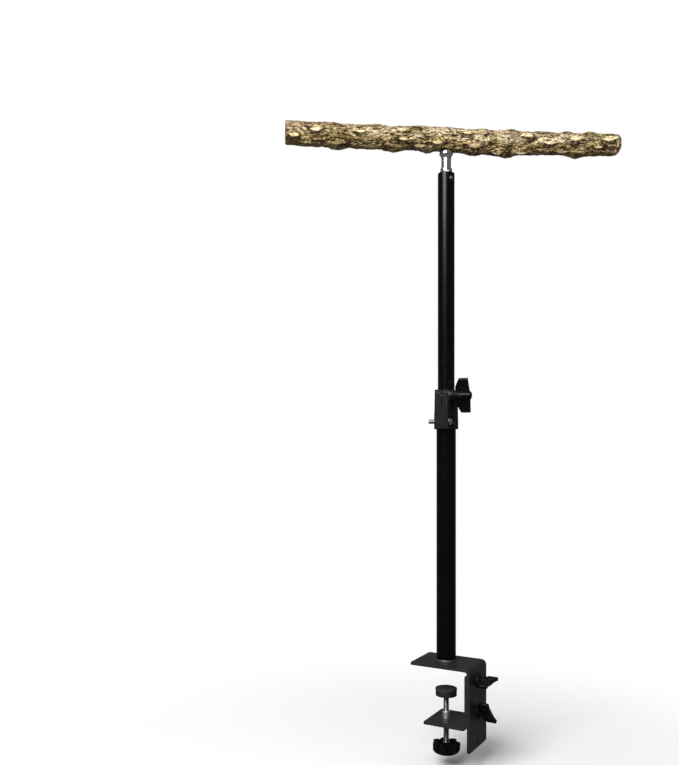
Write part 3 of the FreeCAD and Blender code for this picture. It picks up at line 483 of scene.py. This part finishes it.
def clamp_rod():
    """The clamp's rod with its thread cut, and the neck and head that hold the pad."""
    low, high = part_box("clamp_screw")
    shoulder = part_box("pressure_pad")[0].z - ROD_SHOULDER_GAP * MM
    length = (shoulder - low.z) / MM
    heights = np.arange(0, length, ROD_PITCH / THREAD_ROWS)
    radii = thread_radii(heights, ROD_R, ROD_PITCH)
    lead = smooth(0, ROD_PITCH, heights) * smooth(0, ROD_PITCH, length - heights)
    radii = np.minimum(radii, ROD_R - THREAD_DEPTH * ROD_PITCH * (1 - lead[:, None]))
    top = (high.z - low.z) / MM
    inwards, downwards = ROD_HEAD_EASED
    neck = [
        (length, ROD_NECK_R), (top - ROD_HEAD_H, ROD_NECK_R), (top - ROD_HEAD_H, ROD_HEAD_R),
        (top - downwards, ROD_HEAD_R), (top, ROD_HEAD_R - inwards),
    ]
    heights = np.append(heights, [height for height, radius in neck])
    radii = np.vstack([radii] + [radius + 0 * RING for height, radius in neck])
    place = Matrix.Translation((0, 0, low.z))
    return turned_piece(
        "clamp_rod", heights, radii, place, "clamp_screw", ["clamp_screw"],
    )


def collar_tail():
    """The threaded end of the collar's lower screw, which stands out of the ear."""
    low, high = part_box("collar_screw")
    yaw = COLLAR_YAW
    along = Vector((math.cos(yaw), math.sin(yaw), 0))
    across = Vector((-math.sin(yaw), math.cos(yaw), 0))
    lift = Vector((0, 0, (low.z + high.z) * 0.5))
    foot = across * COLLAR_SCREW_Y * MM - along * COLLAR_TAIL_END * MM + lift
    heights = np.arange(0, COLLAR_TAIL_L, M5_PITCH / THREAD_ROWS)
    radii = thread_radii(heights, M5_R, M5_PITCH)
    lead = smooth(TIP_START, M5_PITCH, heights)
    radii = np.minimum(radii, M5_R - TIP_DEPTH * M5_PITCH * (1 - lead[:, None]))
    place = lying_along(foot, along)
    return turned_piece("collar_screw_thread", heights, radii, place, "root")


def slim_shank(piece):
    """Narrows the collar screw's own shank where the thread stands round it."""
    yaw = COLLAR_YAW
    count = len(piece.data.vertices)
    points = np.empty(count * 3)
    piece.data.vertices.foreach_get("co", points)
    points = points.reshape(-1, 3) / MM
    low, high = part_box("collar_screw")
    middle_z = (low.z + high.z) * 0.5 / MM
    along = points[:, 0] * math.cos(yaw) + points[:, 1] * math.sin(yaw)
    across = -points[:, 0] * math.sin(yaw) + points[:, 1] * math.cos(yaw) - COLLAR_SCREW_Y
    lift = points[:, 2] - middle_z
    slim = np.where(along < COLLAR_SHANK_END, M5_ROOT_R / M5_R, 1)
    at_tip = along < -COLLAR_TAIL_END + COLLAR_TIP_L
    along = np.where(at_tip, along + COLLAR_TIP_DRAWN, along)
    across = across * slim + COLLAR_SCREW_Y
    points[:, 0] = along * math.cos(yaw) - across * math.sin(yaw)
    points[:, 1] = along * math.sin(yaw) + across * math.cos(yaw)
    points[:, 2] = lift * slim + middle_z
    piece.data.vertices.foreach_set("co", (points * MM).ravel())
    piece.data.update()


class Signal:
    """An output of a node of a plan. Python's operators on it add Math nodes."""

    def __init__(self, plan, socket):
        self.plan = plan
        self.socket = socket

    def math(self, operation, *others):
        values = dict(enumerate((self,) + others))
        return self.plan.node("ShaderNodeMath", {"operation": operation}, values)

    def __add__(self, other):
        return self.math("ADD", other)

    def __mul__(self, other):
        return self.math("MULTIPLY", other)

    def __sub__(self, other):
        return self.math("SUBTRACT", other)

    def __rsub__(self, other):
        return self * -1 + other

    def __pow__(self, other):
        return self.math("POWER", other)

    __radd__ = __add__
    __rmul__ = __mul__

    def at_most(self, other):
        return self.math("MINIMUM", other)

    def at_least(self, other):
        return self.math("MAXIMUM", other)

    def between(self, low, high):
        """0 below low, 1 above high and a smooth step between; downwards if low is above high."""
        if low > high:
            return 1 - self.between(high, low)
        values = {"Value": self, "From Min": low, "From Max": high}
        return self.plan.node("ShaderNodeMapRange", {"interpolation_type": "SMOOTHSTEP"}, values)


class Plan:
    """The node tree of a material or of the world, under construction."""

    def __init__(self, tree):
        self.tree = tree

    def node(self, kind, settings=None, values=None, output=0):
        """Adds a node, sets its settings and a ramp's stops, fills its inputs, gives an output."""
        made = self.tree.nodes.new(kind)
        for key, value in (settings or {}).items():
            if key == "stops":
                self.set_stops(made.color_ramp, value)
            else:
                setattr(made, key, value)
        for key, value in (values or {}).items():
            self.feed(made.inputs[key], value)
        return Signal(self, made.outputs[output])

    def feed(self, socket, value):
        if isinstance(value, Signal):
            self.tree.links.new(value.socket, socket)
        else:
            socket.default_value = value

    def set_stops(self, ramp, stops):
        while len(ramp.elements) < len(stops):
            ramp.elements.new(1)
        for element, (position, shade) in zip(ramp.elements, stops):
            element.position = position
            element.color = shade

    def glow(self, strength):
        """White light of a strength, a number or a signal."""
        return self.node("ShaderNodeEmission", values={"Strength": strength})

    def ray_kinds(self):
        """1 for rays from the camera, and 1 for those mirrored or let through by the object."""
        path = self.tree.nodes.new("ShaderNodeLightPath")
        names = ("Is Camera Ray", "Is Glossy Ray", "Is Transmission Ray")
        camera_ray, glossy, let_through = (Signal(self, path.outputs[name]) for name in names)
        return camera_ray, (1 - camera_ray) * glossy.at_least(let_through)


class Finish(Plan):
    """A material under construction: its Principled shader and its usual inputs."""

    def __init__(self, name):
        self.material = bpy.data.materials.new(name)
        self.material.use_nodes = True
        super().__init__(self.material.node_tree)
        self.shader = self.tree.nodes["Principled BSDF"]
        self.place = self.node("ShaderNodeTexCoord", output="Object")

    def stretched(self, x, y, z):
        """Object coordinates scaled along each axis."""
        values = {"Vector": self.place, "Scale": (x, y, z)}
        return self.node("ShaderNodeMapping", {"vector_type": "POINT"}, values)

    def noise(self, size_mm, detail=2, place=None, roughness=0.5):
        """Noise from 0 to 1 whose lumps are about the given size."""
        values = {
            "Vector": place or self.place, "Scale": 1 / (size_mm * MM), "Detail": detail,
            "Roughness": roughness,
        }
        return self.node("ShaderNodeTexNoise", values=values)

    def attribute(self, name):
        return self.node("ShaderNodeAttribute", {"attribute_name": name}, output="Fac")

    def ramp(self, value, stops):
        """A colour for each value, through stops of (position, (red, green, blue) of 255)."""
        stops = [(position, ink(*shade)) for position, shade in stops]
        return self.node("ShaderNodeValToRGB", {"stops": stops}, {"Fac": value})

    def mixed(self, factor, low, high, blend="MIX"):
        """A colour mixed by a factor; the colours are signals or values."""
        values = {0: factor, 6: low, 7: high}
        settings = {"data_type": "RGBA", "blend_type": blend}
        return self.node("ShaderNodeMix", settings, values, output=2)

    def bump(self, height, depth_mm, under=None):
        values = {"Height": height, "Distance": depth_mm * MM, "Strength": 1.0}
        if under:
            values["Normal"] = under
        return self.node("ShaderNodeBump", values=values)

    def axis_part(self, output):
        return self.node("ShaderNodeSeparateXYZ", values={"Vector": self.place}, output=output)

    def done(self, **values):
        """Feeds the shader's sockets, whose names are written here with _ for a space."""
        for key, value in values.items():
            self.feed(self.shader.inputs[key.replace("_", " ")], value)
        return self.material


def ink(red, green, blue):
    """A linear colour from display values out of 255."""
    linear = []
    for level in (red, green, blue):
        part = level / 255
        linear.append(part / 12.92 if part <= 0.04045 else ((part + 0.055) / 1.055) ** 2.4)
    return (*linear, 1.0)


def coated_tube(name, scuffed):
    """Satin black coat on a drawn tube: faint drawing lines along it, dust, and on the upper tube
    the fine scratches that the collar leaves as it slides."""
    coat = Finish(name)
    lines = coat.noise(0.7, 2, coat.stretched(1, 1, 0.03))
    cloud = coat.noise(14, 3)
    peel = coat.noise(1.1, 1)
    tint = coat.ramp(cloud * 0.7 + lines * 0.3, [(0.3, (1, 1, 1)), (0.7, (4, 4, 4))])
    rough = 0.16 + cloud * 0.07 + lines * 0.07
    relief = coat.bump(peel, 0.012)
    if scuffed:
        height = coat.axis_part("Z")
        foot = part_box("collar_body")[1].z
        band = height.between(foot + 0.045, foot + 0.002)
        scratch = coat.noise(0.35, 1, coat.stretched(1, 1, 0.02)).between(0.64, 0.7)
        rings = coat.noise(0.5, 0, coat.stretched(0.05, 0.05, 1)).between(0.68, 0.74)
        worn = (scratch + rings * 0.6).at_most(1) * band * coat.noise(6).between(0.42, 0.6)
        tint = coat.mixed(worn * 0.6, tint, ink(64, 64, 66))
        rough = rough + worn * 0.2
    relief = coat.bump(lines, 0.008, relief)
    return coat.done(
        Base_Color=tint, Roughness=rough, Specular_IOR_Level=0.2, Normal=relief,
    )


def powder_coat():
    """Satin powder coat on the bent brackets: fine orange peel and fine specks of dust in patches."""
    coat = Finish("bracket_powder_coat")
    grain = coat.noise(0.9, 3)
    peel = coat.noise(2.6, 1)
    cloud = coat.noise(22, 3)
    dust = coat.noise(0.6, 1).between(0.72, 0.78) * cloud.between(0.4, 0.65)
    tint = coat.ramp(cloud * 0.6 + grain * 0.4, [(0.3, (20, 20, 22)), (0.7, (34, 34, 36))])
    tint = coat.mixed(dust * 0.35, tint, ink(84, 82, 78))
    rough = 0.36 + grain * 0.16 + dust * 0.2
    relief = coat.bump(grain * 0.6 + peel, 0.035)
    return coat.done(Base_Color=tint, Roughness=rough, Specular_IOR_Level=0.35, Normal=relief)


def moulded_plastic(name, dark, light, shine):
    """Black moulded plastic: spark-eroded grain, faint flow marks and rubbed patches."""
    moulded = Finish(name)
    grain = moulded.noise(0.45, 2)
    flow = moulded.noise(9, 3, moulded.stretched(1, 1, 0.5))
    rubbed = moulded.noise(4, 2).between(0.55, 0.75)
    tint = moulded.ramp(flow * 0.7 + grain * 0.3, [(0.3, dark), (0.7, light)])
    rough = 0.33 + grain * 0.16 - rubbed * 0.08
    relief = moulded.bump(grain, 0.03)
    return moulded.done(
        Base_Color=tint, Roughness=rough, Specular_IOR_Level=shine, Normal=relief,
    )


def lathe_rings(finish, size_mm):
    """Fine rings about the pole's axis, on flats as on round faces: noise of the radius and the
    height alone."""
    x, y, z = (finish.axis_part(axis) for axis in "XYZ")
    radius = (x * x + y * y) ** 0.5
    values = {"X": radius, "Y": z, "Z": 0.0}
    place = finish.node("ShaderNodeCombineXYZ", values=values)
    return finish.noise(size_mm, 2, place)


def bright_chrome():
    """Chrome plate over turned steel: fine lathe rings and a breath of haze."""
    plate = Finish("chrome_plate")
    rings = lathe_rings(plate, 0.22)
    haze = plate.noise(3, 3)
    tint = plate.ramp(haze, [(0.3, (212, 213, 216)), (0.7, (236, 236, 238))])
    rough = 0.17 + rings * 0.05 + haze * 0.04
    relief = plate.bump(rings, 0.004)
    return plate.done(Base_Color=tint, Metallic=1.0, Roughness=rough, Normal=relief)


def zinc_plate(name, dark, light, rough_low):
    """Zinc plate on screws: grey and bright patches, fine brushing and dark specks."""
    plate = Finish(name)
    patch = plate.noise(1.7, 3)
    brushed = plate.noise(0.25, 2, plate.stretched(1, 1, 0.2))
    speck = plate.noise(0.5, 1).between(0.7, 0.76)
    tint = plate.ramp(patch * 0.6 + brushed * 0.4, [(0.3, dark), (0.7, light)])
    tint = plate.mixed(speck * 0.5, tint, ink(92, 90, 86))
    rough = rough_low + brushed * 0.14 + speck * 0.2
    return plate.done(
        Base_Color=tint, Metallic=1.0, Roughness=rough, Normal=plate.bump(brushed, 0.01),
    )


def rivet_coat():
    """Black coat over the rivet heads, worn through to light grey steel in places, partly a
    painted highlight.
    """
    coat = Finish("rivet_coat")
    worn = coat.noise(0.8, 3).between(0.5, 0.62)
    # The worn spots are light grey steel: wear, and painted glints as well.
    tint = coat.mixed(worn, ink(28, 28, 30), ink(176, 176, 178))
    rough = 0.3 + coat.noise(0.6, 1) * 0.15
    return coat.done(Base_Color=tint, Roughness=rough, Metallic=worn * 0.6,
                     Normal=coat.bump(worn, 0.01))


def pad_rubber():
    """Matt black rubber with a fine grain and pale rub marks."""
    rubber = Finish("pad_rubber_skin")
    grain = rubber.noise(0.35, 2)
    rub = rubber.noise(3, 3).between(0.55, 0.7)
    tint = rubber.mixed(rub * 0.5, ink(30, 30, 30), ink(62, 61, 59))
    rough = 0.72 + grain * 0.2
    return rubber.done(Base_Color=tint, Roughness=rough, Normal=rubber.bump(grain, 0.05))


def bark():
    """The branch: grey-brown bark whose fibres flow round pale filed thorns with painted shadows
    beneath them, the knot's hollow painted dark as shade, painted shade above, warmer and much
    darker painted shade below, and sawn ends with rings."""
    wood = Finish("branch_bark")
    names = ("skin", "lens", "pale", "above", "knot", "sawn", "upward", "from_pith")
    skin, lens, pale, above, knot, sawn, upward, from_pith = map(wood.attribute, names)
    flow = [wood.attribute(name) for name in ("flow_along", "flow_out", "flow_up")]

    def fleck(along_mm, across_mm, detail=3):
        """Noise of the stored coordinates, stretched along the fibres."""
        sizes = (along_mm, across_mm, across_mm)
        values = dict(zip("XYZ", (part * (1 / size) for part, size in zip(flow, sizes))))
        place = wood.node("ShaderNodeCombineXYZ", values=values)
        values = {"Vector": place, "Scale": 1.0, "Detail": detail, "Roughness": 0.62}
        return wood.node("ShaderNodeTexNoise", values=values)

    patch = wood.noise(20, 4, roughness=0.6)
    blotch = fleck(15, 6, 2).between(0.36, 0.64)
    streak = fleck(6.5, 1.7).between(0.38, 0.62)
    crumb = fleck(2.4, 1.2)
    crumbs = crumb.between(0.38, 0.62)
    crack = 1 - ((fleck(8, 2, 2) - 0.5).math("ABSOLUTE") * 11).at_most(1)
    level = skin * 0.36 + streak * 0.4 + crumbs * 0.34 + blotch * 0.2 - crack * 0.26 - 0.115
    tint = wood.ramp(level, [
        (0.08, (22, 16, 8)), (0.26, (70, 54, 30)), (0.42, (136, 115, 78)),
        (0.58, (190, 169, 127)), (0.82, (240, 228, 194)),
    ])
    tint = wood.mixed(patch.between(0.5, 0.6) * 0.55, tint, ink(166, 164, 104), "MULTIPLY")
    tint = wood.mixed(patch.between(0.5, 0.38) * 0.22, tint, ink(200, 176, 162))
    # Painted shade along the top: bark that faces up is darkened and yellowed.
    tint = wood.mixed(upward.between(0.4, 1.0) * 0.7, tint, ink(176, 158, 112), "MULTIPLY")
    # Part of the painted shade below: bark that faces down is tinted warmer and darker.
    tint = wood.mixed(upward.between(0.0, -0.5) * 0.7, tint, ink(255, 238, 190), "MULTIPLY")
    # Darker toward the near sawn end, except along the very bottom.
    darker_toward_near_end = flow[0].between(180, 60) * upward.between(-0.9, -0.3)
    tint = wood.mixed(darker_toward_near_end * 0.62, tint, ink(204, 194, 176), "MULTIPLY")
    # Painted shade on the underside, dark brown, which the light flecks partly escape.
    shade = upward.between(0.1, -0.65) * (0.32 + fleck(16, 7, 2).between(0.6, 0.42) * 0.62)
    shade = shade * (1.6 - level * 1.9).at_most(1).at_least(0)
    # Painted shade along the very bottom edge.
    rim = upward.between(-0.76, -0.98) * 0.85
    tint = wood.mixed(shade.at_least(rim), tint, ink(44, 30, 12))
    # Painted shadow under each bare filed thorn, and the knot's hollow painted dark as shade.
    under_thorn_shadow = lens.between(0.5, 0.72) * lens.between(3.3, 1.3) * above.between(0.1, -0.3)
    foot = (under_thorn_shadow * pale.between(0.1, 0.4) * (1.0 - streak * 0.4)).at_least(knot)
    tint = wood.mixed(foot, tint, ink(40, 26, 11))
    filed = wood.ramp(fleck(3.5, 0.8), [(0.34, (188, 150, 92)), (0.6, (246, 230, 186))])
    filed = wood.mixed(lens.between(0.42, 0.62) * 0.6, filed, ink(150, 114, 62))
    ragged = lens + (crumb - 0.5) * 0.5 + above.between(-0.1, 0.4) * (0.08 + streak * 0.3)
    tint = wood.mixed(ragged.between(0.72, 0.6) * pale, tint, filed)
    rings = (from_pith * 2.6 + crumb * 2).math("SINE") * 0.5 + 0.5
    grain = wood.ramp(rings * 0.7 + crumb * 0.3, [(0.25, (76, 58, 36)), (0.75, (108, 86, 56))])
    grain = wood.mixed(from_pith.between(2.2, 0.8), grain, ink(58, 42, 26))
    tint = wood.mixed(sawn, tint, grain)
    rough = 0.88 - pale * 0.15
    relief = wood.bump(streak * 0.5 + crumbs * 0.5 - crack * 0.5, 0.6)
    return wood.done(Base_Color=tint, Roughness=rough, Specular_IOR_Level=0.22, Normal=relief)


def plain_metal(name, dark, light, rough_low):
    """Plain turned metal, of the insert, the pole's foot and the clamp's bush."""
    metal = Finish(name)
    rings = lathe_rings(metal, 0.4)
    tint = metal.ramp(rings, [(0.3, dark), (0.7, light)])
    rough = rough_low + rings * 0.15
    relief = metal.bump(rings, 0.01)
    return metal.done(Base_Color=tint, Metallic=1.0, Roughness=rough, Normal=relief)


# The pieces

EASED = {
    "upper_bracket": 0.35, "lower_bracket": 0.35, "collar_body": 0.35, "star_knob": 0.3,
    "collar_knob": 0.6, "upper_wing_knob": 0.6, "lower_wing_knob": 0.6, "pressure_pad": 0.4,
    "pad_rubber": 0.5, "collar_washer": 0.15, "upper_wing_washer": 0.15,
    "lower_wing_washer": 0.15, "screw_bush": 0.2, "perch_stud": 0.12, "pole_foot": 0.15,
    "lower_tube": 0.2, "upper_tube": 0.2, "collar_screw": 0.15, "collar_nuts": 0.2,
}
eased_pieces = {node: eased(node, width) for node, width in EASED.items()}
slim_shank(eased_pieces["collar_screw"])
rod_piece = clamp_rod()
tail_piece = collar_tail()
branch_piece = add_piece("perch_bark", branch_mesh(), "mast", ["perch_branch"])

zinc = zinc_plate("zinc_plate", (142, 143, 144), (198, 199, 201), 0.27)
finishes = {
    "black_steel": powder_coat(),
    "black_tube": coated_tube("tube_coat", False),
    "black_plastic": moulded_plastic("moulded_plastic", (3, 3, 3), (10, 10, 11), 0.25),
    "nylon": moulded_plastic("nylon", (12, 12, 13), (24, 24, 26), 0.3),
    "chrome": bright_chrome(),
    "zinc_steel": zinc,
    "dark_rivet": rivet_coat(),
    "brass": plain_metal("brass_insert", (150, 116, 60), (196, 158, 92), 0.25),
    "rubber": pad_rubber(),
    "bark_wood": bark(),
}
scuffed_coat = coated_tube("scuffed_tube_coat", True)
foot_satin = plain_metal("foot_satin", (112, 112, 114), (140, 140, 142), 0.42)
bush_bright = plain_metal("bush_bright", (210, 211, 213), (238, 239, 241), 0.4)
knob_plastic = moulded_plastic("knob_plastic", (2, 2, 2), (7, 7, 8), 0.16)


def dress(piece, material):
    """Gives a piece its finish, in the object's own slots."""
    if not piece.material_slots:
        piece.data.materials.append(material)
    for place in piece.material_slots:
        place.link = "OBJECT"
        place.material = material


for node, slot in slot_of.items():
    dress(eased_pieces.get(node, nodes[node]), finishes[slot])
dress(eased_pieces["upper_tube"], scuffed_coat)
dress(eased_pieces["pole_foot"], foot_satin)
dress(eased_pieces["screw_bush"], bush_bright)
for node in ("collar_knob", "upper_wing_knob", "lower_wing_knob", "star_knob"):
    dress(eased_pieces[node], knob_plastic)
dress(rod_piece, zinc)
dress(tail_piece, zinc)
dress(branch_piece, finishes["bark_wood"])


# Floor, light and camera

def floor():
    """A round floor just below the clamp screw at its lowest, whose pale colour turns to the
    white of the background with distance."""
    ring = np.linspace(0, 2 * math.pi, FLOOR_SIDES, endpoint=False)
    rim = np.stack([np.cos(ring), np.sin(ring), 0 * ring], axis=-1) * FLOOR_R
    rim[:, 2] = cad_low.z - FLOOR_DROP
    mesh = bpy.data.meshes.new("studio_floor")
    mesh.from_pydata(rim.tolist(), [], [tuple(range(FLOOR_SIDES))])
    piece = bpy.data.objects.new("studio_floor", mesh)
    bpy.context.scene.collection.objects.link(piece)
    paper = Finish("floor_paper")
    x, y = paper.axis_part("X"), paper.axis_part("Y")
    apart = (x * x + y * y) ** 0.5
    grain = paper.noise(3, 2)
    tint = paper.mixed(grain, ink(226, 226, 226), ink(232, 232, 232))
    paper.done(Base_Color=tint, Roughness=0.9, Specular_IOR_Level=0.1)
    eye, mirrored = paper.ray_kinds()
    whitened = eye * apart.between(FLOOR_NEAR, FLOOR_FAR) + mirrored
    shaded = Signal(paper, paper.shader.outputs[0])
    white = paper.glow(eye + (1 - eye) * ROOM_MIRROR)
    blend = paper.node("ShaderNodeMixShader", values={0: whitened, 1: shaded, 2: white})
    paper.feed(paper.tree.nodes["Material Output"].inputs[0], blend)
    dress(piece, paper.material)


def soft_box(name, centre, target, wide, high, power):
    lamp = bpy.data.lights.new(name, "AREA")
    lamp.shape = "RECTANGLE"
    lamp.size = wide
    lamp.size_y = high
    lamp.energy = power
    piece = bpy.data.objects.new(name, lamp)
    piece.location = centre
    piece.rotation_euler = (target - centre).to_track_quat("-Z", "Y").to_euler()
    bpy.context.scene.collection.objects.link(piece)


def around(turn, distance, height):
    """A place at a bearing from the camera's, seen from above, in degrees clockwise."""
    angle = math.atan2(EYE.y, EYE.x) - math.radians(turn)
    return Vector((math.cos(angle) * distance, math.sin(angle) * distance, height))


def world():
    """White for the camera, a dim room for mirrored rays and an even soft light."""
    room = bpy.data.worlds.new("studio_world")
    room.use_nodes = True
    bpy.context.scene.world = room
    sky = Plan(room.node_tree)
    sky.tree.nodes.clear()
    eye, mirrored = sky.ray_kinds()
    level = eye + mirrored * ROOM_MIRROR + (1 - eye) * (1 - mirrored) * ROOM_LIGHT
    white = sky.node("ShaderNodeBackground", values={"Color": (1, 1, 1, 1), "Strength": level})
    out = sky.tree.nodes.new("ShaderNodeOutputWorld")
    sky.feed(out.inputs[0], white)


def camera():
    lens = bpy.data.cameras.new("camera")
    lens.sensor_width = SENSOR
    lens.sensor_fit = "AUTO"
    lens.lens = FOCAL_PIXELS / PICTURE_HIGH * SENSOR
    lens.shift_y = (HORIZON_ROW - PICTURE_HIGH / 2) / PICTURE_HIGH
    lens.clip_start = 0.05
    piece = bpy.data.objects.new("camera", lens)
    piece.location = EYE
    piece.rotation_euler = (math.radians(90), 0, EYE_TURN)
    bpy.context.scene.collection.objects.link(piece)
    bpy.context.scene.camera = piece


floor()
world()
camera()
key_place = around(turn=24, distance=1.5, height=1.45)
soft_box("key", key_place, Vector((0, 0, 0.4)), wide=1.2, high=1.1, power=62)
overhead_place = Vector((0.1, -0.1, 2.1))
soft_box("overhead", overhead_place, Vector((0, 0, 0.3)), wide=1.4, high=1.4, power=9)
bpy.context.scene.view_settings.view_transform = "Standard"
